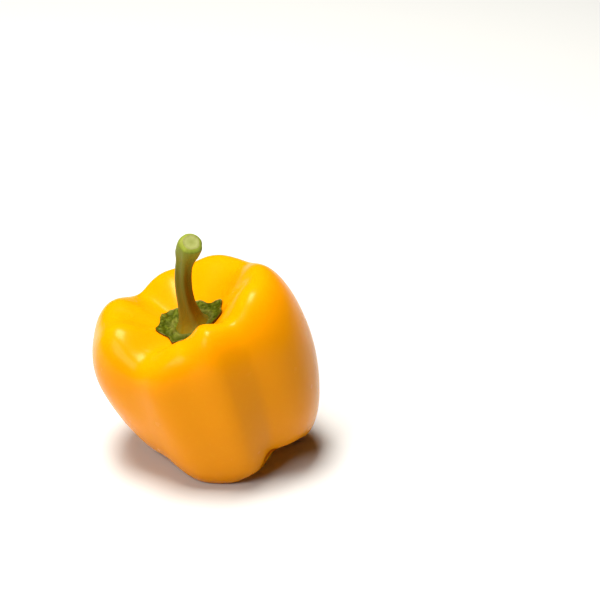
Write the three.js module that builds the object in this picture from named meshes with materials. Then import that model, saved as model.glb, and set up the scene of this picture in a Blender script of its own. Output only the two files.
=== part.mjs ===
// A yellow bell pepper as picked, standing on the feet of its four lobes. Millimetres, +Z up.
// The fruit leans a little to -X. Its origin is the middle of its box, on the surface it stands on.

import * as THREE from 'three';
import { mergeVertices } from 'three/addons/utils/BufferGeometryUtils.js';

const DEGREE = Math.PI / 180;

// Driving dimensions of the fruit

// Each of the four lobes has two or three shoulders, and a shallow valley between two of them.
// A shoulder is the upright profile of the fruit at one azimuth, in degrees round from +X.
// The foot is the lowest place, lifted off the ground where the fruit leans away from it.
// The belly is the widest place and the crest the top of the shoulder.
// lower and upper say how far the wall stays upright below and above the belly.
// inner says how far the crest runs inwards before it drops to the stem.
const SHOULDERS = [
  [-160, 26, 0, 42.3, 51, 28, 73.5, 0.2, 0.48, 0.3],
  [-118, 28, 0, 39.5, 48, 24.5, 66, 0.52, 0.68, 0.2],
  [-92, 27.5, 1, 37, 46, 25, 66.7, 0.66, 0.74, 0.2],
  [-67, 30, 3, 41, 48, 29, 73.5, 0.58, 0.68, 0.42],
  [-22, 26, 8.5, 46, 43, 32, 77, 0.5, 0.62, 0.3],
  [12, 26, 1.5, 46, 42, 32, 77, 0.5, 0.6, 0.35],
  [60, 25, 0, 43, 46, 31, 74, 0.5, 0.55, 0.35],
  [108, 24, 0, 42, 46, 28, 76, 0.5, 0.5, 0.35],
  [156, 22, 0, 42.5, 51, 29, 75.5, 0.25, 0.45, 0.35],
].map(([azimuth, foot, lift, belly, bellyZ, crest, crestZ, lower, upper, inner]) => (
  { azimuth, foot, lift, belly, bellyZ, crest, crestZ, lower, upper, inner }
));

// The furrows between the lobes, and the shallow valley down the middle of each lobe.
// Azimuths and depths are given at the foot, at the belly and at the crest.
// A furrow reaches over the angle before and after it, and a valley over its spread.
// softness is the share of a furrow's reach over which its bottom is rounded.
const FURROWS = [
  { azimuths: [-51, -50, -47], depths: [8, 4, 6.5], before: 40, after: 42, softness: 0.14 },
  { azimuths: [32, 32, 32], depths: [6, 4, 3.8], before: 42, after: 46, softness: 0.4 },
  { azimuths: [133, 133, 133], depths: [6, 4, 7], before: 46, after: 42, softness: 0.2 },
  { azimuths: [-140, -131, -125], depths: [3.8, 3.2, 4], before: 42, after: 44, softness: 0.25 },
];
const VALLEYS = [
  { azimuth: -78, depths: [0.5, 0.2, 1.6], spread: 7 },
  { azimuth: -4, depths: [0.6, 0.3, 2], spread: 12 },
  { azimuth: 92, depths: [1, 0.5, 3.5], spread: 13 },
  { azimuth: 183, depths: [0.6, 0.3, 1.2], spread: 12 },
];
const FOOT_ROUND = 0.55; // how soon the wall turns up from the foot
const CREST_ROUND = 0.62; // how far the crest stays outwards before it turns over
const DIMPLE = 9; // depth of the hollow underneath, where the flower was
const SEAT = 59.5; // height of the floor of the bowl at the top
const SEAT_FLAT = 13; // how far that floor stays level
const SEAT_SHIFT = new THREE.Vector2(2.4, -4.2); // the bowl is a little off the middle
const LEAN = 16; // degrees, to -X
const SETTLE = 1.5; // how much the lobes' feet are flattened by standing

// Driving dimensions of the green parts

const GAP = 0.35; // between one piece and the next
const CALYX_CORNERS = [
  { azimuth: -156, radius: 14.2 },
  { azimuth: -122, radius: 13.5 },
  { azimuth: -80, radius: 13 },
  { azimuth: -50, radius: 10.5 },
  { azimuth: -22, radius: 14.8 },
  { azimuth: 28, radius: 15 },
  { azimuth: 75, radius: 13 },
  { azimuth: 138, radius: 14.5 },
];
const CALYX_SAG = 1.8; // how far its edge draws in between two corners
const CALYX_THICKNESS = 1.5;
const CALYX_BOSS_RADIUS = 7; // the raised middle that carries the stem
const CALYX_BOSS_HEIGHT = 2.6;
const CALYX_CRINKLE = 0.3;
const STEM_PATH = new THREE.CubicBezierCurve3(
  new THREE.Vector3(0, 0, 0),
  new THREE.Vector3(-4.2, 0, 15),
  new THREE.Vector3(-5, 1, 25),
  new THREE.Vector3(1.8, -4, 40),
);
const STEM_RADII = [
  [0, 6],
  [0.12, 4.2],
  [0.2, 3.5],
  [0.32, 3.2],
  [0.6, 3.1],
  [0.72, 3.4],
  [0.82, 4.6],
  [0.9, 5],
  [1, 4.3],
];
const STEM_CUT_SLANT = 0.11; // how much lower the knife left the front of the stem, as a share of its path
const STEM_CUT_FRONT = -100; // degrees round the stem
const STEM_RIDGES = 5;
const STEM_RIDGE_HEIGHT = 0.35;

// How finely each piece is cut, as steps round it and along it

const FRUIT_STEPS = [90, 40];
const CALYX_STEPS = [56, 16];
const STEM_STEPS = [30, 22];

// How far the middle of the box lies from the fruit's own axis, so that the origin is under the middle
const BOX_MIDDLE = new THREE.Vector2(-10.1, 2);

const AXIS_LEVELS = [0, 0.25, 0.5, 0.75, 1]; // underneath, foot, belly, crest and seat, along a profile

function easeInOut(share) {
  return (1 - Math.cos(Math.PI * share)) / 2;
}

function wrapAngle(angle) {
  return angle - 2 * Math.PI * Math.round(angle / (2 * Math.PI));
}

// A value that eases from each of its levels to the next
function easedAt(place, levels, values) {
  let index = 0;
  while (index < levels.length - 2 && place > levels[index + 1]) {
    index += 1;
  }
  const span = levels[index + 1] - levels[index];
  const share = THREE.MathUtils.clamp((place - levels[index]) / span, 0, 1);
  return THREE.MathUtils.lerp(values[index], values[index + 1], easeInOut(share));
}

// The entry before and the entry after an azimuth in a list that runs round the fruit
function neighbours(azimuth, entries) {
  const turns = entries.map((entry) => {
    const turn = azimuth - entry.azimuth * DEGREE;
    return turn - 2 * Math.PI * Math.floor(turn / (2 * Math.PI));
  });
  const before = turns.indexOf(Math.min(...turns));
  const after = turns.indexOf(Math.max(...turns));
  const gap = turns[before] + 2 * Math.PI - turns[after];
  return { before: entries[before], after: entries[after], share: turns[before] / gap };
}

// The profile's four stretches are cubic curves: underneath, lower wall, upper wall and bowl.
// The feet all reach the ground, which is aslant to the fruit's own axis by the lean.
function profileAt(azimuth, along) {
  const { before, after, share } = neighbours(azimuth, SHOULDERS);
  const blend = (key) => THREE.MathUtils.lerp(before[key], after[key], easeInOut(share));
  const [foot, belly, bellyZ, crest, crestZ] = ['foot', 'belly', 'bellyZ', 'crest', 'crestZ'].map(blend);
  const point = (radius, height) => new THREE.Vector2(radius, height);
  const slope = -Math.cos(azimuth) * Math.tan(LEAN * DEGREE);
  const ground = (radius) => point(radius, radius * slope + blend('lift'));
  const stretches = [
    new THREE.CubicBezierCurve(
      point(0, DIMPLE),
      point(foot / 2, DIMPLE),
      ground(foot / 2),
      ground(foot),
    ),
    new THREE.CubicBezierCurve(
      ground(foot),
      ground(THREE.MathUtils.lerp(foot, belly, FOOT_ROUND)),
      point(belly, bellyZ * (1 - blend('lower'))),
      point(belly, bellyZ),
    ),
    new THREE.CubicBezierCurve(
      point(belly, bellyZ),
      point(belly, THREE.MathUtils.lerp(bellyZ, crestZ, blend('upper'))),
      point(THREE.MathUtils.lerp(crest, belly, CREST_ROUND), crestZ),
      point(crest, crestZ),
    ),
    new THREE.CubicBezierCurve(
      point(crest, crestZ),
      point(crest * (1 - blend('inner')), crestZ),
      point(SEAT_FLAT, SEAT),
      point(0, SEAT),
    ),
  ];
  const index = Math.min(Math.floor(along * 4), 3);
  const stretch = stretches[index];
  const place = along * 4 - index;
  const tangent = stretch.getTangent(place);
  return { at: stretch.getPoint(place), normal: point(tangent.y, -tangent.x) };
}

// How deep the furrows and valleys press in at one place
function pressedAt(azimuth, along) {
  const depthOf = (depths) => easedAt(along, AXIS_LEVELS, [0, ...depths, 0]);
  let pressed = 0;
  for (const furrow of FURROWS) {
    const [low, middle, high] = furrow.azimuths;
    const centre = easedAt(along, AXIS_LEVELS, [low, low, middle, high, high]) * DEGREE;
    const turn = wrapAngle(azimuth - centre);
    const reach = (turn < 0 ? furrow.before : furrow.after) * DEGREE;
    const away = Math.hypot(turn / reach, furrow.softness);
    const share = Math.max(1 - away, 0) / (1 - furrow.softness);
    pressed += share * share * depthOf(furrow.depths);
  }
  for (const valley of VALLEYS) {
    const turn = wrapAngle(azimuth - valley.azimuth * DEGREE) / (valley.spread * DEGREE);
    pressed += Math.exp(-turn * turn / 2) * depthOf(valley.depths);
  }
  return pressed;
}

// A place on the skin before the fruit leans: azimuth round it, and 0 to 1 from underneath to the seat
function skinAt(azimuth, along) {
  const { at, normal } = profileAt(azimuth, along);
  at.addScaledVector(normal, -pressedAt(azimuth, along));
  const shifted = easeInOut(THREE.MathUtils.clamp((along - 0.75) * 4, 0, 1));
  return new THREE.Vector3(
    at.x * Math.cos(azimuth) + SEAT_SHIFT.x * shifted,
    at.x * Math.sin(azimuth) + SEAT_SHIFT.y * shifted,
    at.y,
  );
}

// The same in the bowl, found by its distance from the middle of the seat
function bowlAt(azimuth, radius) {
  let outer = 0.75;
  let inner = 1;
  for (let step = 0; step < 24; step += 1) {
    const middle = (outer + inner) / 2;
    const { at, normal } = profileAt(azimuth, middle);
    const reached = at.x - normal.x * pressedAt(azimuth, middle);
    if (reached > radius) {
      outer = middle;
    } else {
      inner = middle;
    }
  }
  return skinAt(azimuth, (outer + inner) / 2);
}

// Leans a place over as the whole fruit leans, and stands it on its flattened feet
function standing(place) {
  const leaning = new THREE.Vector2(place.x, place.z).rotateAround(new THREE.Vector2(), LEAN * DEGREE);
  return new THREE.Vector3(
    leaning.x - BOX_MIDDLE.x,
    place.y - BOX_MIDDLE.y,
    Math.max(leaning.y - SETTLE, 0),
  );
}

// Moves each vertex of a three.js shape to where a function puts it, and closes the seams
function reshaped(geometry, placeVertex) {
  const places = geometry.attributes.position;
  const vertex = new THREE.Vector3();
  for (let index = 0; index < places.count; index += 1) {
    vertex.fromBufferAttribute(places, index);
    const moved = placeVertex(vertex);
    places.setXYZ(index, moved.x, moved.y, moved.z);
  }
  geometry.deleteAttribute('normal');
  geometry.deleteAttribute('uv');
  const closed = mergeVertices(geometry, 1e-4);
  closed.computeVertexNormals();
  return closed;
}

function fruitGeometry() {
  const ball = new THREE.SphereGeometry(1, ...FRUIT_STEPS).rotateX(Math.PI / 2);
  return reshaped(ball, (vertex) => {
    const azimuth = Math.atan2(vertex.y, vertex.x);
    const along = 1 - Math.acos(THREE.MathUtils.clamp(vertex.z, -1, 1)) / Math.PI;
    return standing(skinAt(azimuth, along));
  });
}

// The calyx's edge draws in between its corners
function calyxRadius(azimuth) {
  const { before, after, share } = neighbours(azimuth, CALYX_CORNERS);
  const straight = THREE.MathUtils.lerp(before.radius, after.radius, easeInOut(share));
  return straight - CALYX_SAG * Math.sin(Math.PI * share) ** 2;
}

// The calyx lies on the skin of the bowl: a ball pressed flat, its lower half following the skin
function calyxGeometry() {
  const ball = new THREE.SphereGeometry(1, ...CALYX_STEPS).rotateX(Math.PI / 2);
  return reshaped(ball, (vertex) => {
    const azimuth = Math.atan2(vertex.y, vertex.x);
    const share = Math.min(Math.hypot(vertex.x, vertex.y), 1);
    const radius = share * calyxRadius(azimuth);
    const place = bowlAt(azimuth, radius);
    place.z += GAP * 1.4;
    if (vertex.z > 0) {
      const edge = Math.sqrt(Math.min(vertex.z, 1));
      const crinkle = CALYX_CRINKLE * Math.sin(7 * azimuth) * Math.sin(radius * 1.1);
      const outside = THREE.MathUtils.smoothstep(radius, CALYX_BOSS_RADIUS, CALYX_BOSS_RADIUS + 3);
      const boss = SEAT + CALYX_BOSS_HEIGHT;
      const blade = place.z + (CALYX_THICKNESS + crinkle) * edge;
      place.z = THREE.MathUtils.lerp(boss, blade, outside);
    }
    return standing(place);
  });
}

// The stem is a round bar bent along its path, ridged down its sides and flared at both ends
function stemGeometry() {
  const bar = new THREE.CylinderGeometry(1, 1, 1, ...STEM_STEPS).rotateX(Math.PI / 2);
  const foot = standing(new THREE.Vector3(SEAT_SHIFT.x, SEAT_SHIFT.y, SEAT + CALYX_BOSS_HEIGHT + GAP));
  const across = new THREE.Vector3(0, 1, 0);
  const levels = STEM_RADII.map(([level]) => level);
  const radii = STEM_RADII.map(([, radius]) => radius);
  return reshaped(bar, (vertex) => {
    const azimuth = Math.atan2(vertex.y, vertex.x);
    const share = Math.hypot(vertex.x, vertex.y);
    const front = share * (1 + Math.cos(azimuth - STEM_CUT_FRONT * DEGREE)) / 2 + (1 - share) / 2;
    const above = THREE.MathUtils.clamp((vertex.z - 0.2) / 0.3, 0, 1);
    const along = vertex.z + 0.5 - STEM_CUT_SLANT * front * above ** 1.5;
    const ridge = STEM_RIDGE_HEIGHT * Math.cos(STEM_RIDGES * azimuth);
    const radius = share * (easedAt(along, levels, radii) + ridge);
    const side = new THREE.Vector3().crossVectors(across, STEM_PATH.getTangent(along));
    return STEM_PATH.getPoint(along)
      .addScaledVector(side, radius * Math.cos(azimuth))
      .addScaledVector(across, radius * Math.sin(azimuth))
      .add(foot);
  });
}

function piece(name, geometry, colour, roughness) {
  const material = new THREE.MeshStandardMaterial({ color: colour, roughness, metalness: 0 });
  const mesh = new THREE.Mesh(geometry, material);
  mesh.name = name;
  return mesh;
}

const pepper = new THREE.Group();
pepper.name = 'bell_pepper';
pepper.add(piece('fruit', fruitGeometry(), 0xf7ab02, 0.28));
pepper.add(piece('calyx', calyxGeometry(), 0x74792a, 0.7));
pepper.add(piece('stem', stemGeometry(), 0x66631a, 0.6));

export default pepper;
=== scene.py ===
"""A yellow bell pepper, finished over its solid model: waxy skin, crinkled calyx and ridged stem."""

import math

import bpy
import numpy as np
from bpy.props import FloatProperty, FloatVectorProperty, IntProperty, PointerProperty
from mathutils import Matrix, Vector, noise


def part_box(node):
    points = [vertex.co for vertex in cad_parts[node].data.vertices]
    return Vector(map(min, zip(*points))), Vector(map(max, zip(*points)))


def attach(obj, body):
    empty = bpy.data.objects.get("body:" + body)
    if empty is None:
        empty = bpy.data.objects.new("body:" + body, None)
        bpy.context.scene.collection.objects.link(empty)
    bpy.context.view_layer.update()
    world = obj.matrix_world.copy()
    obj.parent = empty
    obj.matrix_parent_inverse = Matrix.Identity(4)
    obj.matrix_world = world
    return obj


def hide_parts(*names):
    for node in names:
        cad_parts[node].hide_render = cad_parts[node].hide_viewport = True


bl_info = {
    "name": "Yellow bell pepper",
    "version": (1, 0, 0),
    "blender": (4, 5, 0),
    "location": "View3D > Sidebar > Bell pepper",
    "description": "Grows a yellow bell pepper with its calyx and stem, and lights it on a plain floor",
    "category": "Object",
}

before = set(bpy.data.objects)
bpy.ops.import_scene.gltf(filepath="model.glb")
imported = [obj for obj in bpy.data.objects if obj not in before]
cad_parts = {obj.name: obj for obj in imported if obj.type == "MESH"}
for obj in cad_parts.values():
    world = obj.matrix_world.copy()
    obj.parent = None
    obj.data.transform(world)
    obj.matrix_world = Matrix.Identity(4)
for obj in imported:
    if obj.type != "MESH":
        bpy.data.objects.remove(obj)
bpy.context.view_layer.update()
MM = 0.001
TAU = 2 * math.pi
TINY = 1e-9

# Form of the fruit, in millimetres and degrees

# One row for each shoulder, two or three to a lobe: azimuth, foot radius, lift off the ground, belly radius,
# belly height, crest radius, crest height, and how full the wall is below, above and inside
SHOULDERS = (
    (-160, 26, 0, 42.3, 51, 28, 73.5, 0.2, 0.48, 0.3),
    (-118, 28, 0, 39.5, 48, 24.5, 66, 0.52, 0.68, 0.2),
    (-92, 27.5, 1, 37, 46, 25, 66.7, 0.66, 0.74, 0.2),
    (-67, 30, 3, 41, 48, 29, 73.5, 0.58, 0.68, 0.42),
    (-22, 26, 8.5, 46, 43, 32, 77, 0.5, 0.62, 0.3),
    (12, 26, 1.5, 46, 42, 32, 77, 0.5, 0.6, 0.35),
    (60, 25, 0, 43, 46, 31, 74, 0.5, 0.55, 0.35),
    (108, 24, 0, 42, 46, 28, 76, 0.5, 0.5, 0.35),
    (156, 22, 0, 42.5, 51, 29, 75.5, 0.25, 0.45, 0.35),
)
# Furrows between the lobes: azimuths and depths at foot, belly and crest, reach to each side, softness
FURROWS = (
    ((-51, -50, -47), (8, 4, 6.5), 40, 42, 0.14),
    ((32, 32, 32), (6, 4, 3.8), 42, 46, 0.4),
    ((133, 133, 133), (6, 4, 7), 46, 42, 0.2),
    ((-140, -131, -125), (3.8, 3.2, 4), 42, 44, 0.25),
)
# Valleys down the middle of the lobes: azimuth, depths at foot, belly and crest, and spread
VALLEYS = (
    (-78, (0.5, 0.2, 1.6), 7),
    (-4, (0.6, 0.3, 2), 12),
    (92, (1, 0.5, 3.5), 13),
    (183, (0.6, 0.3, 1.2), 12),
)
# How far the wall bulges out from foot and from crest, as shares of the way to the belly's radius
FOOT_ROUND = 0.55
CREST_ROUND = 0.62
# Height of the dimple underneath, and height, reach and shift of the flat seat in the bowl
DIMPLE = 9
SEAT = 59.5
SEAT_FLAT = 13
SEAT_SHIFT = (2.4, -4.2)
# The fruit leans over, sinks a little into its flattened feet and stands over the middle of its box
LEAN = math.radians(16)
SETTLE = 1.5
BOX_MIDDLE = (-10.1, 2)
# The profile runs from the dimple over foot, belly and crest to the seat, in stretches of equal share
LEVELS = (0, 0.25, 0.5, 0.75, 1)
STRETCHES = len(LEVELS) - 1
CREST_LEVEL = LEVELS[3]
BOWL_HALVINGS = 24
# Each octave of a noise is finer than the one before by the one number, and fades by the other
NOISE_FINER = 2.0
NOISE_FADE = 1.0
# Broad swells and upright ripples of the skin, and where they fade to still
SWELL_SIZE = 17
RIPPLE_SIZE = 6
RIPPLE_STRETCH = (1, 1, 0.25)
RIPPLE_SHARE = 0.4
STILL_HEIGHT = 6
STILL_SEAT = (0.03, 0.12)

# Form of the calyx and the stem, in millimetres and degrees

# Azimuth and reach of each corner of the calyx: seven clear ones and a low one
CALYX_CORNERS = (
    (-156, 14.2),
    (-122, 13.5),
    (-80, 13),
    (-50, 10.5),
    (-22, 14.8),
    (28, 15),
    (75, 13),
    (138, 14.5),
)
# How far its edge draws back between two corners, its gap over the skin, and its thickness
CALYX_SAG = 1.8
CALYX_GAP = 0.35
CALYX_THICKNESS = 1.3
# The boss under the stem, the slope from it to the blade, and the ring-shaped collar round it
BOSS_RADIUS = 7
BOSS_HEIGHT = 2.6
BOSS_SLOPE = (BOSS_RADIUS - 1.5, BOSS_RADIUS + 3)
COLLAR_RADIUS = 8.1
COLLAR_SPREAD = 0.9
COLLAR_HEIGHT = 0.45
# Puckers with finer crinkles on them, and veins that waver as they run out
PUCKER_SIZE = 3.2
PUCKER_SHARE = 3.2
PUCKER_MIDDLE = 0.9
CRINKLE_SIZE = 1.1
CRINKLE_SHARE = 0.4
VEINS = 9
VEIN_WAVER = 0.9
VEIN_WAVES = 0.7
VEIN_SHARE = 0.35
RELIEF_LIMITS = (-1.1, 1.3)
# The relief has the first share of its height beside the boss, and gains the second over these radii
RELIEF_SHARES = (0.15, 0.85)
RELIEF_GROWTH = (5, 9)
# The turned-up lip: the band along the edge where it rises, its height, the patches where it is painted pale
# as a highlight, and how strong that painted highlight is on the lip and on the collar
LIP_BAND = (0.93, 0.99)
LIP_HEIGHT = 0.4
LIP_PATCH_SIZE = 5
LIP_PATCH_EDGES = (-0.1, 0.35)
LIP_HIGHLIGHT = 0.8
COLLAR_HIGHLIGHT = 0.3
# Where the brown painted shadow under the edge starts to fade up the edge and where it is gone, later
# between the patches
UNDER_START = -0.02
UNDER_END = 0.1
UNDER_SPREAD = 0.12
# Corners of the stem's curve, and its radius along the way, from foot to cut
STEM_PATH = ((0, 0, 0), (-4.2, 0, 15), (-5, 1, 25), (1.8, -4, 40))
STEM_RADII = (
    (-0.03, 9.2),
    (0, 7.2),
    (0.04, 5.7),
    (0.12, 4.2),
    (0.2, 3.5),
    (0.32, 3.2),
    (0.6, 3.1),
    (0.72, 3.4),
    (0.82, 4.6),
    (0.9, 5),
    (1, 4.3),
)
# The stem's ridges, how they turn and how full they are, and where they rise and sink along it
STEM_RIDGES = 5
RIDGE_TWIST = 0.5
RIDGE_FULLNESS = 0.8
RIDGE_RISE = (-0.02, 0.12)
RIDGE_SINK = (0.75, 0.93)
RIDGE_LOSS = 0.7
FIBRE_SIZE = 1.5
FIBRE_STRETCH = (1, 1, 0.16)
FIBRE_HEIGHT = 0.13
# The slanted cut: how much shorter the front is, its azimuth, and where and how the slant sets in
STEM_CUT_SLANT = 0.11
STEM_CUT_FRONT = -100
SLANT_START = 0.7
SLANT_LENGTH = 0.3
SLANT_BEND = 1.5
# Stretch of the stem's side, then rows round the bevel and in to the middle of the cut, which is a little
# hollow: place along the stem and share of its radius. The skin covers the first of these rows
STEM_SIDE = (-0.03, 0.967)
STEM_END = (
    (0.975, 0.985),
    (0.983, 0.95),
    (0.991, 0.89),
    (0.997, 0.8),
    (1, 0.7),
    (0.9995, 0.6),
    (0.998, 0.42),
    (0.9975, 0.22),
    (0.997, 0),
)
STEM_END_SKIN_ROWS = 5

# Real sizes of what the materials show, in metres

# The first four sizes set the painted shade on the fruit's skin: the noise that wavers its edge, and the
# heights over which it lightens from the lower to the upper colour
SKIN_MOTTLE = 22 * MM
SKIN_MOTTLE_DRIFT = 18 * MM
SKIN_LOWER_END = 18 * MM
SKIN_UPPER_START = 82 * MM
SKIN_FLECKS = 1.6 * MM
SKIN_WAX_PATCHES = 7 * MM
SKIN_PORES = 0.9 * MM
CALYX_GRAIN = 1.1 * MM
STEM_FIBRE_WIDTH = 1.2 * MM
STEM_FIBRE_LENGTH = 9 * MM
FLESH_GRAIN = 0.7 * MM
BOARD_GRAIN = 2 * MM

# Inputs of a Math node that multiplies and adds, and inputs and output of a Mix node that mixes colours

VALUE = 0
TIMES = 1
PLUS = 2
FROM = 6
TO = 7
MIXED = 2

# The camera of the photograph: its angle, distance and lens in degrees, metres and millimetres, the middle
# of the fruit in metres, and the pixel that it lies on

PHOTO_ELEVATION = math.radians(28)
PHOTO_DISTANCE = 0.672
PHOTO_LENS = 100
SENSOR = 36
FRUIT_MIDDLE = Vector((0.0001, -0.002, 0.039))
FRUIT_PIXEL = (207, 362)
FRAME_PIXELS = 600

# Soft boxes: name, place and sides in metres, power in watts, and colour; and the place they are turned to

SOFTBOXES = (
    ("overhead", (-0.22, 0.08, 1.5), (0.7, 0.6), 36, "#FFFDF8"),
    ("window_left", (-0.9, -0.9, 1.2), (0.8, 0.8), 13, "#FFFFFF"),
)
LIT_PLACE = (0, 0, 0.05)


def hex_colour(code):
    """An sRGB hex colour as linear red, green, blue and alpha, by the standard formula."""
    parts = [int(code[index : index + 2], 16) / 255 for index in (1, 3, 5)]
    return [part / 12.92 if part <= 0.04045 else ((part + 0.055) / 1.055) ** 2.4 for part in parts] + [1]


def colour_property(name, description, code):
    """A colour that the panel shows."""
    return FloatVectorProperty(
        name=name, description=description, default=hex_colour(code), subtype="COLOR", size=4, min=0, max=1
    )


# Shapes by formula


def all_round(steps):
    """One row of azimuths in even steps all the way round."""
    return np.arange(steps)[None, :] * TAU / steps


def ease(share):
    """Eases a share from 0 to 1."""
    return (1 - np.cos(np.pi * share)) / 2


def eased_at(place, values):
    """A value along the profile that eases from each of its five levels to the next."""
    index = np.clip(np.searchsorted(LEVELS, place, side="right") - 1, 0, STRETCHES - 1)
    share = ease(np.clip(place * STRETCHES - index, 0, 1))
    values = np.asarray(values, float)
    return values[index] * (1 - share) + values[index + 1] * share


def smooth_step(value, low, high):
    """0 below low, 1 above high and smooth between."""
    share = np.clip((value - low) / (high - low), 0, 1)
    return share * share * (3 - 2 * share)


def round_blend(azimuth, entries):
    """The values of rows that start with an azimuth, eased from row to row, and the share between two."""
    rows = sorted(entries)
    starts = np.radians([row[0] for row in rows])
    turn = (azimuth - starts[0]) % TAU + starts[0]
    index = np.searchsorted(starts, turn, side="right") - 1
    ends = np.append(starts[1:], starts[0] + TAU)
    share = (turn - starts[index]) / (ends[index] - starts[index])
    values = np.array([row[1:] for row in rows], float)
    blend = ease(share)[..., None]
    mixed = values[index] * (1 - blend) + np.roll(values, -1, axis=0)[index] * blend
    return np.moveaxis(mixed, -1, 0), share


def bezier(corners, share):
    """A point of a cubic curve and its tangent."""
    first, second, third, last = corners
    rest = 1 - share
    point = rest**3 * first + 3 * rest**2 * share * second + 3 * rest * share**2 * third + share**3 * last
    tangent = rest**2 * (second - first) + 2 * rest * share * (third - second) + share**2 * (last - third)
    return point, tangent


def smooth_through(place, rows):
    """The value at a place on the smooth curve through rows of a place and its value."""
    places, values = np.array(rows).T
    slopes = np.gradient(values, places)
    index = np.clip(np.searchsorted(places, place, side="right") - 1, 0, len(places) - 2)
    span = places[index + 1] - places[index]
    share = (place - places[index]) / span
    return (
        values[index] * (1 + 2 * share) * (1 - share) ** 2
        + values[index + 1] * share**2 * (3 - 2 * share)
        + slopes[index] * span * share * (1 - share) ** 2
        + slopes[index + 1] * span * share**2 * (share - 1)
    )


def profile(azimuth, along):
    """Radius and height of the upright profile as one complex number, and its outward normal."""
    values, _ = round_blend(azimuth, SHOULDERS)
    foot, lift, belly, belly_z, crest, crest_z, lower, upper, inner = values
    slope = -np.cos(azimuth) * math.tan(LEAN)
    turn_up = foot + FOOT_ROUND * (belly - foot)
    turn_in = crest + CREST_ROUND * (belly - crest)
    underneath = (1j * DIMPLE, foot / 2 + 1j * DIMPLE)
    ground = [radius + 1j * (radius * slope + lift) for radius in (foot / 2, foot, turn_up)]
    widest = belly + 1j * belly_z
    top = crest + 1j * crest_z
    stretches = (
        (*underneath, ground[0], ground[1]),
        (ground[1], ground[2], belly + 1j * belly_z * (1 - lower), widest),
        (widest, belly + 1j * (belly_z + upper * (crest_z - belly_z)), turn_in + 1j * crest_z, top),
        (top, crest * (1 - inner) + 1j * crest_z, SEAT_FLAT + 1j * SEAT, 1j * SEAT),
    )
    index = np.clip((along * STRETCHES).astype(int), 0, STRETCHES - 1)
    point = np.zeros(np.broadcast(azimuth, along).shape, complex)
    tangent = point.copy()
    for number, corners in enumerate(stretches):
        here, way = bezier(corners, along * STRETCHES - number)
        point = np.where(index == number, here, point)
        tangent = np.where(index == number, way, tangent)
    return point, -1j * tangent / np.maximum(np.abs(tangent), TINY)


def pressed(azimuth, along):
    """How deep the furrows and valleys press in."""
    total = np.zeros(np.broadcast(azimuth, along).shape)
    for (low, middle, high), depths, before, after, softness in FURROWS:
        centre = np.radians(eased_at(along, (low, low, middle, high, high)))
        turn = (azimuth - centre + np.pi) % TAU - np.pi
        away = np.hypot(turn / np.radians(np.where(turn < 0, before, after)), softness)
        share = np.maximum(1 - away, 0) / (1 - softness)
        total += share**2 * eased_at(along, (0, *depths, 0))
    for centre, depths, spread in VALLEYS:
        turn = (azimuth - math.radians(centre) + np.pi) % TAU - np.pi
        total += np.exp(-((turn / math.radians(spread)) ** 2) / 2) * eased_at(along, (0, *depths, 0))
    return total


def skin_point(azimuth, along):
    """A place on the skin before the fruit leans, as rows of x, y and z."""
    point, normal = profile(azimuth, along)
    point = point - normal * pressed(azimuth, along)
    shift = ease(np.clip((along - CREST_LEVEL) * STRETCHES, 0, 1))
    x = point.real * np.cos(azimuth) + SEAT_SHIFT[0] * shift
    y = point.real * np.sin(azimuth) + SEAT_SHIFT[1] * shift
    return np.stack([x, y, point.imag], axis=-1)


def bowl_point(azimuth, radius):
    """The skin of the bowl at a distance from the middle of its seat, found by halving."""
    outer = np.full(np.broadcast(azimuth, radius).shape, CREST_LEVEL)
    inner = np.ones_like(outer)
    for _ in range(BOWL_HALVINGS):
        middle = (outer + inner) / 2
        point, normal = profile(azimuth, middle)
        beyond = (point - normal * pressed(azimuth, middle)).real > radius
        outer = np.where(beyond, middle, outer)
        inner = np.where(beyond, inner, middle)
    return skin_point(azimuth, (outer + inner) / 2)


def standing(points):
    """Leans places over as the whole fruit leans, and stands it on its flattened feet."""
    leaning = (points[..., 0] + 1j * points[..., 2]) * np.exp(1j * LEAN)
    x = leaning.real - BOX_MIDDLE[0]
    y = points[..., 1] - BOX_MIDDLE[1]
    return np.stack([x, y, np.maximum(leaning.imag - SETTLE, 0)], axis=-1)


def grid_normals(points):
    """Outward normals of rows of points that run round an axis."""
    round_it = np.roll(points, -1, axis=1) - np.roll(points, 1, axis=1)
    normals = np.cross(round_it, np.gradient(points, axis=0))
    return normals / np.maximum(np.linalg.norm(normals, axis=-1, keepdims=True), TINY)


def bumps(points, size, octaves=3, seed=0.0):
    """Smooth noise of about -1 to 1 at each place, with features of a size in millimetres."""
    shape = points.shape[:-1]
    offset = Vector((seed, -seed, seed * 0.5))
    flat = points.reshape(-1, 3) / size
    heights = [noise.fractal(Vector(place) + offset, NOISE_FADE, NOISE_FINER, octaves) for place in flat]
    return np.array(heights).reshape(shape)


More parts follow.
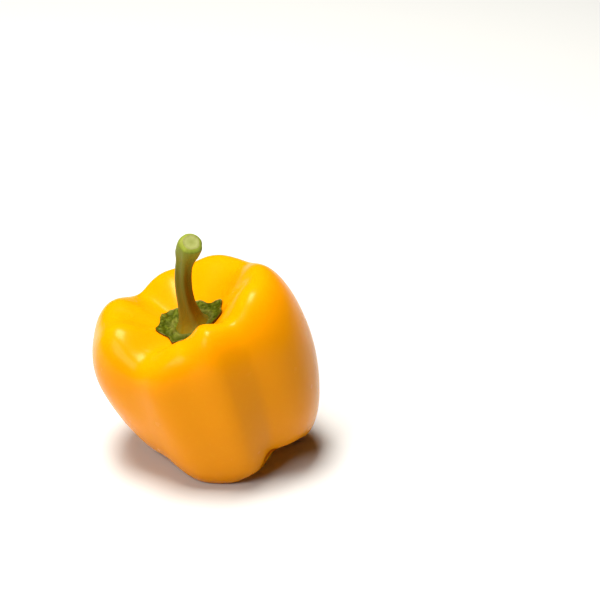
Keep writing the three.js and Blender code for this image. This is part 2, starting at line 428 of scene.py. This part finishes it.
def closed_mesh(name, points, attributes=None, cut_row=None):
    """A closed smooth mesh from rows of points in millimetres, whose first and last rows are one point each.

    Attributes give each point a value. From the cut row on, faces take the second material.
    """
    rows, columns = points.shape[:2]
    vertices = np.concatenate([points[:1, 0], points[1:-1].reshape(-1, 3), points[-1:, 0]]) * MM
    index = 1 + np.arange((rows - 2) * columns).reshape(rows - 2, columns)
    beside = np.roll(index, -1, axis=1)
    quads = np.stack([index[:-1], beside[:-1], beside[1:], index[1:]], axis=-1).reshape(-1, 4)
    last = len(vertices) - 1
    faces = [(0, beside[0, column], index[0, column]) for column in range(columns)]
    faces += [tuple(quad) for quad in quads]
    faces += [(last, index[-1, column], beside[-1, column]) for column in range(columns)]
    mesh = bpy.data.meshes.new(name)
    mesh.from_pydata(vertices.tolist(), [], [[int(corner) for corner in face] for face in faces])
    mesh.polygons.foreach_set("use_smooth", [True] * len(mesh.polygons))
    for label, values in (attributes or {}).items():
        flat = np.concatenate([values[:1, 0], values[1:-1].reshape(-1), values[-1:, 0]])
        layer = mesh.attributes.new(label, "FLOAT", "POINT")
        layer.data.foreach_set("value", flat.astype(np.float32))
    if cut_row is not None:
        slots = [int(number >= cut_row * columns) for number in range(len(mesh.polygons))]
        mesh.polygons.foreach_set("material_index", slots)
    mesh.validate()
    mesh.update()
    return mesh


def place_piece(name, mesh, node, materials):
    """Shows a mesh in place of its solid and hangs it on the one body."""
    piece = bpy.data.objects.new(name, mesh)
    bpy.context.scene.collection.objects.link(piece)
    for material in materials:
        mesh.materials.append(material)
    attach(piece, "root")
    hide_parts(node)


def stretched_to(points, node):
    """The points stretched by a hair so that their box is the box of their solid."""
    low, high = (np.array(corner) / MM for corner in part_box(node))
    lowest = points.min(axis=(0, 1))
    highest = points.max(axis=(0, 1))
    return low + (points - lowest) * (high - low) / (highest - lowest)


# Materials


def add_node(tree, kind, inputs=(), **settings):
    """Adds a node with its settings. An input that is given a socket is linked, any other is set."""
    node = tree.nodes.new(kind)
    for name, value in settings.items():
        setattr(node, name, value)
    for name, value in dict(inputs).items():
        if isinstance(value, bpy.types.NodeSocket):
            tree.links.new(value, node.inputs[name])
        else:
            node.inputs[name].default_value = value
    return node


def new_material(name):
    """An empty material: its node tree, its shader and its object coordinates."""
    material = bpy.data.materials.new(name)
    material.use_nodes = True
    tree = material.node_tree
    shader = tree.nodes["Principled BSDF"]
    place = add_node(tree, "ShaderNodeTexCoord").outputs["Object"]
    return material, tree, shader, place


def waxy_pepper_skin(settings):
    """Ripe pepper skin, grown smooth under a thin wax: soft broad gloss over a deep glowing yellow, with
    painted shade that turns it darker and redder towards the feet.
    """
    material, tree, shader, place = new_material("waxy_pepper_skin")
    # Painted shade: the skin goes from the darker, redder lower colour at the feet to the lighter upper
    # colour at the shoulders, and a noise wavers where it turns
    height = add_node(tree, "ShaderNodeSeparateXYZ", {"Vector": place}).outputs["Z"]
    mottle = add_node(tree, "ShaderNodeTexNoise", {"Vector": place, "Scale": 1 / SKIN_MOTTLE, "Detail": 3})
    wander = add_node(
        tree,
        "ShaderNodeMath",
        {VALUE: mottle.outputs["Fac"], TIMES: SKIN_MOTTLE_DRIFT, PLUS: height},
        operation="MULTIPLY_ADD",
    )
    rise = add_node(
        tree,
        "ShaderNodeMapRange",
        {"Value": wander.outputs[0], "From Min": SKIN_LOWER_END, "From Max": SKIN_UPPER_START},
        interpolation_type="SMOOTHSTEP",
    )
    painted_shade_skin = add_node(
        tree,
        "ShaderNodeMix",
        {"Factor": rise.outputs[0], FROM: list(settings.shaded_lower_colour), TO: list(settings.lit_upper_colour)},
        data_type="RGBA",
    )
    # Small cells of flesh under the wax show as faint flecks
    flecks = add_node(tree, "ShaderNodeTexNoise", {"Vector": place, "Scale": 1 / SKIN_FLECKS, "Detail": 2})
    fleck = add_node(
        tree,
        "ShaderNodeMapRange",
        {"Value": flecks.outputs["Fac"], "From Min": 0.55, "From Max": 0.8, "To Max": 0.12},
    )
    colour = add_node(
        tree,
        "ShaderNodeMix",
        {"Factor": fleck.outputs[0], FROM: painted_shade_skin.outputs[MIXED], TO: list(settings.fleck_colour)},
        data_type="RGBA",
    )
    # The wax is a little uneven, so the gloss breaks up softly
    wax = add_node(tree, "ShaderNodeTexNoise", {"Vector": place, "Scale": 1 / SKIN_WAX_PATCHES, "Detail": 4})
    gloss = add_node(
        tree, "ShaderNodeMapRange", {"Value": wax.outputs["Fac"], "To Min": 0.22, "To Max": 0.3}
    )
    pores = add_node(tree, "ShaderNodeTexNoise", {"Vector": place, "Scale": 1 / SKIN_PORES, "Detail": 2})
    relief = add_node(
        tree, "ShaderNodeBump", {"Height": pores.outputs["Fac"], "Strength": 0.12, "Distance": 0.05 * MM}
    )
    tree.links.new(colour.outputs[MIXED], shader.inputs["Base Color"])
    tree.links.new(gloss.outputs[0], shader.inputs["Roughness"])
    tree.links.new(relief.outputs[0], shader.inputs["Normal"])
    shader.inputs["IOR"].default_value = 1.42
    shader.inputs["Specular Tint"].default_value = hex_colour("#FFE294")
    shader.inputs["Specular IOR Level"].default_value = 0.22
    shader.inputs["Subsurface Weight"].default_value = 0.12
    shader.inputs["Subsurface Radius"].default_value = (1, 0.45, 0.08)
    shader.inputs["Subsurface Scale"].default_value = 3 * MM
    shader.inputs["Coat Weight"].default_value = 0.06
    shader.inputs["Coat Roughness"].default_value = 0.22
    shader.inputs["Coat IOR"].default_value = 1.4
    return material


def crinkled_calyx_skin(settings):
    """The calyx dries as it grows into dull green puckers; painted highlight makes their crests pale and the
    lip and collar pale in patches, and painted shadow makes the underside of the edge brown.
    """
    material, tree, shader, place = new_material("crinkled_calyx_skin")
    relief = add_node(tree, "ShaderNodeAttribute", attribute_name="relief").outputs["Fac"]
    lip = add_node(tree, "ShaderNodeAttribute", attribute_name="lip").outputs["Fac"]
    under = add_node(tree, "ShaderNodeAttribute", attribute_name="under").outputs["Fac"]
    # Painted highlight and shade: the tops of the puckers are painted pale and the hollows between them
    # dark, following the relief
    grain = add_node(tree, "ShaderNodeTexNoise", {"Vector": place, "Scale": 1 / CALYX_GRAIN, "Detail": 4})
    crest = add_node(
        tree,
        "ShaderNodeMath",
        {VALUE: grain.outputs["Fac"], TIMES: 0.5, PLUS: relief},
        operation="MULTIPLY_ADD",
    )
    raised = add_node(
        tree, "ShaderNodeMapRange", {"Value": crest.outputs[0], "From Min": -0.25, "From Max": 0.85}
    )
    green = add_node(
        tree,
        "ShaderNodeMix",
        {"Factor": raised.outputs[0], FROM: list(settings.shaded_hollow_colour), TO: list(settings.lit_crest_colour)},
        data_type="RGBA",
    )
    lipped = add_node(
        tree,
        "ShaderNodeMix",
        {"Factor": lip, FROM: green.outputs[MIXED], TO: list(settings.lip_highlight_colour)},
        data_type="RGBA",
    )
    colour = add_node(
        tree,
        "ShaderNodeMix",
        {"Factor": under, FROM: lipped.outputs[MIXED], TO: list(settings.painted_shadow_colour)},
        data_type="RGBA",
    )
    bump = add_node(
        tree, "ShaderNodeBump", {"Height": grain.outputs["Fac"], "Strength": 0.5, "Distance": 0.25 * MM}
    )
    tree.links.new(colour.outputs[MIXED], shader.inputs["Base Color"])
    tree.links.new(bump.outputs[0], shader.inputs["Normal"])
    shader.inputs["Roughness"].default_value = 0.5
    shader.inputs["IOR"].default_value = 1.4
    shader.inputs["Specular IOR Level"].default_value = 0.35
    shader.inputs["Specular Tint"].default_value = hex_colour("#E8E070")
    return material


def ridged_stem_skin(settings):
    """The stem's woody skin: olive brown below, greener and paler up to the flared end, streaked along, with
    a painted highlight on the crests of its ridges.
    """
    material, tree, shader, place = new_material("ridged_stem_skin")
    along = add_node(tree, "ShaderNodeAttribute", attribute_name="along").outputs["Fac"]
    ridge = add_node(tree, "ShaderNodeAttribute", attribute_name="relief").outputs["Fac"]
    across_fibres = 1 / STEM_FIBRE_WIDTH
    stretch = add_node(
        tree,
        "ShaderNodeMapping",
        {"Vector": place, "Scale": (across_fibres, across_fibres, 1 / STEM_FIBRE_LENGTH)},
    )
    fibres = add_node(tree, "ShaderNodeTexNoise", {"Vector": stretch.outputs[0], "Scale": 1, "Detail": 4})
    wander = add_node(
        tree,
        "ShaderNodeMath",
        {VALUE: fibres.outputs["Fac"], TIMES: 0.3, PLUS: along},
        operation="MULTIPLY_ADD",
    )
    lower = add_node(
        tree, "ShaderNodeMapRange", {"Value": wander.outputs[0], "From Min": 0.2, "From Max": 0.6}
    )
    upper = add_node(
        tree, "ShaderNodeMapRange", {"Value": wander.outputs[0], "From Min": 0.7, "From Max": 1.1}
    )
    body = add_node(
        tree,
        "ShaderNodeMix",
        {"Factor": lower.outputs[0], FROM: list(settings.base_colour), TO: list(settings.neck_colour)},
        data_type="RGBA",
    )
    tipped = add_node(
        tree,
        "ShaderNodeMix",
        {"Factor": upper.outputs[0], FROM: body.outputs[MIXED], TO: list(settings.tip_colour)},
        data_type="RGBA",
    )
    # Painted highlight: the crests of the ridges are painted paler
    lit = add_node(
        tree, "ShaderNodeMapRange", {"Value": ridge, "From Min": 0.1, "From Max": 1, "To Max": 0.3}
    )
    colour = add_node(
        tree,
        "ShaderNodeMix",
        {"Factor": lit.outputs[0], FROM: tipped.outputs[MIXED], TO: list(settings.ridge_highlight_colour)},
        data_type="RGBA",
    )
    bump = add_node(
        tree, "ShaderNodeBump", {"Height": fibres.outputs["Fac"], "Strength": 0.4, "Distance": 0.2 * MM}
    )
    tree.links.new(colour.outputs[MIXED], shader.inputs["Base Color"])
    tree.links.new(bump.outputs[0], shader.inputs["Normal"])
    shader.inputs["Roughness"].default_value = 0.48
    shader.inputs["IOR"].default_value = 1.42
    shader.inputs["Specular Tint"].default_value = hex_colour("#F0E478")
    return material


def cut_stem_flesh(settings):
    """Where the knife went through: pale moist flesh with a darker pith, drying to a brown rim."""
    material, tree, shader, place = new_material("cut_stem_flesh")
    across = add_node(tree, "ShaderNodeAttribute", attribute_name="across").outputs["Fac"]
    grain = add_node(tree, "ShaderNodeTexNoise", {"Vector": place, "Scale": 1 / FLESH_GRAIN, "Detail": 3})
    uneven = add_node(
        tree,
        "ShaderNodeMath",
        {VALUE: grain.outputs["Fac"], TIMES: 0.25, PLUS: across},
        operation="MULTIPLY_ADD",
    )
    pith = add_node(
        tree, "ShaderNodeMapRange", {"Value": uneven.outputs[0], "From Min": 0.2, "From Max": 0.6}
    )
    rim = add_node(
        tree, "ShaderNodeMapRange", {"Value": uneven.outputs[0], "From Min": 0.6, "From Max": 1}
    )
    flesh = add_node(
        tree,
        "ShaderNodeMix",
        {"Factor": pith.outputs[0], FROM: list(settings.pith_colour), TO: list(settings.flesh_colour)},
        data_type="RGBA",
    )
    colour = add_node(
        tree,
        "ShaderNodeMix",
        {"Factor": rim.outputs[0], FROM: flesh.outputs[MIXED], TO: list(settings.rim_colour)},
        data_type="RGBA",
    )
    bump = add_node(
        tree, "ShaderNodeBump", {"Height": grain.outputs["Fac"], "Strength": 0.5, "Distance": 0.2 * MM}
    )
    tree.links.new(colour.outputs[MIXED], shader.inputs["Base Color"])
    tree.links.new(bump.outputs[0], shader.inputs["Normal"])
    shader.inputs["Roughness"].default_value = 0.6
    shader.inputs["IOR"].default_value = 1.38
    return material


def painted_board(settings):
    """A white painted board, sanded flat: an even pale matt ground that shows only soft shadows."""
    material, tree, shader, place = new_material("painted_board")
    grain = add_node(tree, "ShaderNodeTexNoise", {"Vector": place, "Scale": 1 / BOARD_GRAIN, "Detail": 2})
    bump = add_node(
        tree, "ShaderNodeBump", {"Height": grain.outputs["Fac"], "Strength": 0.05, "Distance": 0.05 * MM}
    )
    tree.links.new(bump.outputs[0], shader.inputs["Normal"])
    shader.inputs["Base Color"].default_value = list(settings.floor_colour)
    shader.inputs["Roughness"].default_value = 0.7
    shader.inputs["Specular IOR Level"].default_value = 0.2
    return material


# Settings that a user would change


class PepperFruitSettings(bpy.types.PropertyGroup):
    """Fineness, waviness and colours of the fruit"""

    steps_round: IntProperty(name="Steps round", description="Faces round the fruit", default=320, min=60)
    steps_up: IntProperty(name="Steps up", description="Faces from dimple to seat", default=200, min=40)
    waviness: FloatProperty(
        name="Waviness",
        description="How far the skin swells and sinks between the furrows",
        default=0.1 * MM,
        subtype="DISTANCE",
        unit="LENGTH",
    )
    # The lower skin colour is painted shade, darker and redder than the upper one
    lit_upper_colour: colour_property("Upper skin", "Colour of the skin round the shoulders", "#FF9E00")
    shaded_lower_colour: colour_property("Lower skin", "Colour of the skin towards the feet", "#EE9300")
    fleck_colour: colour_property("Flecks", "Colour of the pale cells under the wax", "#FFB61E")


class PepperCalyxSettings(bpy.types.PropertyGroup):
    """Fineness, puckers and colours of the calyx"""

    steps_round: IntProperty(name="Steps round", description="Faces round the calyx", default=320, min=60)
    steps_across: IntProperty(
        name="Steps across", description="Faces over the calyx, both sides", default=150, min=40
    )
    crinkle: FloatProperty(
        name="Crinkle",
        description="Height of the puckers",
        default=0.6 * MM,
        subtype="DISTANCE",
        unit="LENGTH",
    )
    # The crest colour is a painted highlight and the hollow colour is painted shade
    lit_crest_colour: colour_property("Crests", "Colour of the tops of the puckers", "#566012")
    shaded_hollow_colour: colour_property("Hollows", "Colour between the puckers", "#3C4503")
    # The lip colour is a painted highlight on the lip and the collar
    lip_highlight_colour: colour_property("Lip", "Colour of the turned-up edge", "#948E46")
    # The underside colour is a painted shadow under the edge
    painted_shadow_colour: colour_property("Underside", "Colour under the edge", "#5A3208")


class PepperStemSettings(bpy.types.PropertyGroup):
    """Fineness, ridges and colours of the stem"""

    steps_round: IntProperty(name="Steps round", description="Faces round the stem", default=160, min=24)
    steps_along: IntProperty(name="Steps along", description="Faces along the stem", default=200, min=24)
    ridge_height: FloatProperty(
        name="Ridge height",
        description="How far the ridges stand out of the stem",
        default=0.35 * MM,
        subtype="DISTANCE",
        unit="LENGTH",
    )
    base_colour: colour_property("Foot", "Colour where the stem meets the calyx", "#806608")
    neck_colour: colour_property("Neck", "Colour of the narrow middle", "#686414")
    tip_colour: colour_property("Tip", "Colour of the flared end", "#83902F")
    # The streak colour is a painted highlight on the crests of the ridges
    ridge_highlight_colour: colour_property("Streaks", "Colour on the crests of the ridges", "#7C8038")
    flesh_colour: colour_property("Cut flesh", "Colour of the cut end", "#9EA256")
    pith_colour: colour_property("Pith", "Colour of the middle of the cut end", "#8C9140")
    rim_colour: colour_property("Cut rim", "Colour of the dried edge of the cut", "#77702A")


class PepperStageSettings(bpy.types.PropertyGroup):
    """The board and the light from all round"""

    floor_colour: colour_property("Floor", "Colour of the board", "#E2E2E0")
    floor_size: FloatProperty(
        name="Floor size", description="Side of the board", default=6, subtype="DISTANCE", unit="LENGTH"
    )
    sky: FloatProperty(
        name="Room light", description="Strength of the light from all round", default=0.24, min=0
    )


# One operator for each piece


class PEPPER_OT_fruit(bpy.types.Operator):
    """Grow the fruit: four lobes, the furrows between them and the bowl at the top"""

    bl_idname = "pepper.fruit"
    bl_label = "Grow fruit"

    def execute(self, context):
        settings = context.scene.pepper_fruit
        azimuth = all_round(settings.steps_round)
        along = np.linspace(0, 1, settings.steps_up + 1)[:, None]
        points = standing(skin_point(azimuth, along))
        # The skin swells and sinks a little, and fades to still where it stands and at the seat
        still = smooth_step(points[..., 2], 0, STILL_HEIGHT) * smooth_step(1 - along, *STILL_SEAT)
        ripples = bumps(points * RIPPLE_STRETCH, RIPPLE_SIZE, octaves=2, seed=5.0)
        swell = bumps(points, SWELL_SIZE) + RIPPLE_SHARE * ripples
        points = points + grid_normals(points) * (swell * still * settings.waviness / MM)[..., None]
        mesh = closed_mesh("fruit_skin", stretched_to(points, "fruit"))
        place_piece("fruit_skin", mesh, "fruit", [waxy_pepper_skin(settings)])
        return {"FINISHED"}


class PEPPER_OT_calyx(bpy.types.Operator):
    """Grow the calyx: a crinkled cap whose corners lie up the walls of the bowl"""

    bl_idname = "pepper.calyx"
    bl_label = "Grow calyx"

    def execute(self, context):
        settings = context.scene.pepper_calyx
        azimuth = all_round(settings.steps_round)
        tilt = np.linspace(-np.pi / 2, np.pi / 2, settings.steps_across + 1)[:, None]
        (corner,), share = round_blend(azimuth, CALYX_CORNERS)
        edge = corner - CALYX_SAG * np.sin(np.pi * share) ** 2
        radius = np.cos(tilt) * edge
        points = bowl_point(azimuth, radius)
        points[..., 2] += CALYX_GAP
        outside = smooth_step(radius, *BOSS_SLOPE)
        # Puckers are round swellings with narrow creases between them
        puckers = np.abs(bumps(points, PUCKER_SIZE, octaves=2, seed=3.0)) * PUCKER_SHARE
        puckers = puckers + bumps(points, CRINKLE_SIZE, octaves=2, seed=8.0) * CRINKLE_SHARE
        veins = np.cos(VEINS * azimuth + VEIN_WAVER * np.sin(radius * VEIN_WAVES)) * VEIN_SHARE
        growth = RELIEF_SHARES[0] + RELIEF_SHARES[1] * smooth_step(radius, *RELIEF_GROWTH)
        relief = np.clip(puckers - PUCKER_MIDDLE + veins, *RELIEF_LIMITS) * growth
        patch = smooth_step(bumps(points, LIP_PATCH_SIZE, octaves=2, seed=11.0), *LIP_PATCH_EDGES)
        near_edge = smooth_step(np.cos(tilt), *LIP_BAND)
        collar = np.exp(-(((radius - COLLAR_RADIUS) / COLLAR_SPREAD) ** 2))
        blade = CALYX_THICKNESS + relief * settings.crinkle / MM + near_edge * LIP_HEIGHT
        over = points[..., 2] + blade * np.sqrt(np.maximum(np.sin(tilt), 0))
        boss = np.maximum(SEAT + BOSS_HEIGHT, over)
        top = over * outside + boss * (1 - outside) + COLLAR_HEIGHT * collar
        upper = np.broadcast_to(tilt > 0, over.shape)
        points[..., 2] = np.where(upper, top, points[..., 2])
        # Painted highlight: the lip is painted pale in patches, and the collar round the boss pale all round
        pale = near_edge * patch * LIP_HIGHLIGHT + collar * COLLAR_HIGHLIGHT
        under_end = UNDER_END + UNDER_SPREAD * (1 - patch)
        zero = np.zeros_like(over)
        attributes = {
            "relief": relief + zero,
            "lip": np.where(upper, pale, 0) + zero,
            # Painted shadow: the underside of the calyx and a thin band up its edge are painted dark brown
            "under": 1 - smooth_step(np.sin(tilt), UNDER_START, under_end) + zero,
        }
        mesh = closed_mesh("calyx_cap", standing(points), attributes)
        place_piece("calyx_cap", mesh, "calyx", [crinkled_calyx_skin(settings)])
        return {"FINISHED"}


class PEPPER_OT_stem(bpy.types.Operator):
    """Grow the stem: ridged, bent to one side, and cut across its flared end"""

    bl_idname = "pepper.stem"
    bl_label = "Grow stem"

    def execute(self, context):
        settings = context.scene.pepper_stem
        azimuth = all_round(settings.steps_round)
        # Rows run up the side, round the bevel of the cut and in to its middle
        side = np.linspace(*STEM_SIDE, settings.steps_along)
        end, shrink = np.array(STEM_END).T
        across = np.concatenate([[0], np.ones(len(side)), shrink])[:, None]
        along = np.concatenate([[side[0]], side, end])[:, None]
        # The knife went through aslant, so the front of the stem ends lower than its back
        short = (1 + np.cos(azimuth - math.radians(STEM_CUT_FRONT))) / 2
        share = across * short + (1 - across) / 2
        above = np.clip((along - SLANT_START) / SLANT_LENGTH, 0, 1)
        along = along - STEM_CUT_SLANT * share * above**SLANT_BEND
        radius = smooth_through(along, STEM_RADII)
        ridge = np.cos(STEM_RIDGES * (azimuth + RIDGE_TWIST * along))
        full_ridge = np.sign(ridge) * np.abs(ridge) ** RIDGE_FULLNESS
        corners = [np.array(corner, float) for corner in STEM_PATH]
        path, tangent = bezier(corners, along[..., None])
        tangent /= np.linalg.norm(tangent, axis=-1, keepdims=True)
        backwards = np.array([0, 1, 0])
        sideways = np.cross(backwards, tangent)
        around = sideways * np.cos(azimuth)[..., None] + backwards * np.sin(azimuth)[..., None]
        foot = standing(np.array([*SEAT_SHIFT, SEAT + BOSS_HEIGHT]))

        def wrap_round(size):
            """Points at a distance all round the stem's curve."""
            return path + around * (size * across)[..., None] + foot

        plain = wrap_round(radius + 0 * azimuth)
        fibre = bumps(plain * FIBRE_STRETCH, FIBRE_SIZE, seed=2.0)
        fade = smooth_step(along, *RIDGE_RISE) * (1 - RIDGE_LOSS * smooth_step(along, *RIDGE_SINK))
        ridges = full_ridge * fade * settings.ridge_height / MM
        points = wrap_round(radius + ridges + FIBRE_HEIGHT * fibre)
        zero = np.zeros(points.shape[:2])
        attributes = {"along": along + zero, "relief": ridge + zero, "across": across + zero}
        mesh = closed_mesh("stem_bar", points, attributes, cut_row=len(side) + STEM_END_SKIN_ROWS)
        materials = [ridged_stem_skin(settings), cut_stem_flesh(settings)]
        place_piece("stem_bar", mesh, "stem", materials)
        return {"FINISHED"}


def add_softbox(name, place, sides, power, colour):
    """A four-sided light with a diffuser, turned to what it lights."""
    lamp = bpy.data.lights.new(name, "AREA")
    lamp.shape = "RECTANGLE"
    lamp.size, lamp.size_y = sides
    lamp.energy = power
    lamp.color = hex_colour(colour)[:3]
    light = bpy.data.objects.new(name, lamp)
    light.location = place
    light.rotation_euler = (Vector(LIT_PLACE) - Vector(place)).to_track_quat("-Z", "Y").to_euler()
    bpy.context.scene.collection.objects.link(light)


class PEPPER_OT_stage(bpy.types.Operator):
    """Set the stage: a pale board, soft boxes and the camera"""

    bl_idname = "pepper.stage"
    bl_label = "Set stage"

    def execute(self, context):
        settings = context.scene.pepper_stage
        half = settings.floor_size / 2
        board = bpy.data.meshes.new("board")
        corners = [(-half, -half, 0), (half, -half, 0), (half, half, 0), (-half, half, 0)]
        board.from_pydata(corners, [], [(0, 1, 2, 3)])
        board.materials.append(painted_board(settings))
        floor = bpy.data.objects.new("board", board)
        context.scene.collection.objects.link(floor)

        world = bpy.data.worlds.new("room")
        world.use_nodes = True
        world.node_tree.nodes["Background"].inputs["Strength"].default_value = settings.sky
        context.scene.world = world

        for softbox in SOFTBOXES:
            add_softbox(*softbox)

        # The camera looks along +Y and down, with the fruit left of the middle and low as in the photograph
        look_up = Vector((0, math.sin(PHOTO_ELEVATION), math.cos(PHOTO_ELEVATION)))
        look_back = Vector((0, -math.cos(PHOTO_ELEVATION), math.sin(PHOTO_ELEVATION)))
        pixel = PHOTO_DISTANCE * SENSOR / PHOTO_LENS / FRAME_PIXELS
        centre = FRAME_PIXELS / 2
        aim = FRUIT_MIDDLE + Vector((centre - FRUIT_PIXEL[0], 0, 0)) * pixel
        aim = aim + look_up * (FRUIT_PIXEL[1] - centre) * pixel
        lens = bpy.data.cameras.new("camera")
        lens.lens = PHOTO_LENS
        lens.sensor_width = SENSOR
        lens.clip_start = 0.01
        camera = bpy.data.objects.new("camera", lens)
        camera.location = aim + look_back * PHOTO_DISTANCE
        camera.rotation_euler = (math.pi / 2 - PHOTO_ELEVATION, 0, 0)
        context.scene.collection.objects.link(camera)
        context.scene.camera = camera
        context.scene.view_settings.view_transform = "Standard"
        return {"FINISHED"}


class PEPPER_PT_sidebar(bpy.types.Panel):
    """Settings of the pepper and the buttons that grow it"""

    bl_idname = "PEPPER_PT_sidebar"
    bl_label = "Bell pepper"
    bl_space_type = "VIEW_3D"
    bl_region_type = "UI"
    bl_category = "Bell pepper"

    def draw(self, context):
        for operator, group in PARTS:
            box = self.layout.box()
            settings = getattr(context.scene, group)
            for name in settings.__annotations__:
                box.prop(settings, name)
            box.operator(operator)


PARTS = (
    ("pepper.fruit", "pepper_fruit"),
    ("pepper.calyx", "pepper_calyx"),
    ("pepper.stem", "pepper_stem"),
    ("pepper.stage", "pepper_stage"),
)
SETTINGS = (PepperFruitSettings, PepperCalyxSettings, PepperStemSettings, PepperStageSettings)
BUTTONS = (PEPPER_OT_fruit, PEPPER_OT_calyx, PEPPER_OT_stem, PEPPER_OT_stage)
CLASSES = (*SETTINGS, *BUTTONS, PEPPER_PT_sidebar)


def register():
    for group in CLASSES:
        bpy.utils.register_class(group)
    for (_, name), group in zip(PARTS, SETTINGS):
        setattr(bpy.types.Scene, name, PointerProperty(type=group))


def unregister():
    for _, name in PARTS:
        delattr(bpy.types.Scene, name)
    for group in reversed(CLASSES):
        bpy.utils.unregister_class(group)


def main():
    """Grows the pepper on its stage."""
    register()
    bpy.ops.pepper.fruit()
    bpy.ops.pepper.calyx()
    bpy.ops.pepper.stem()
    bpy.ops.pepper.stage()


if __name__ == "__main__":
    main()
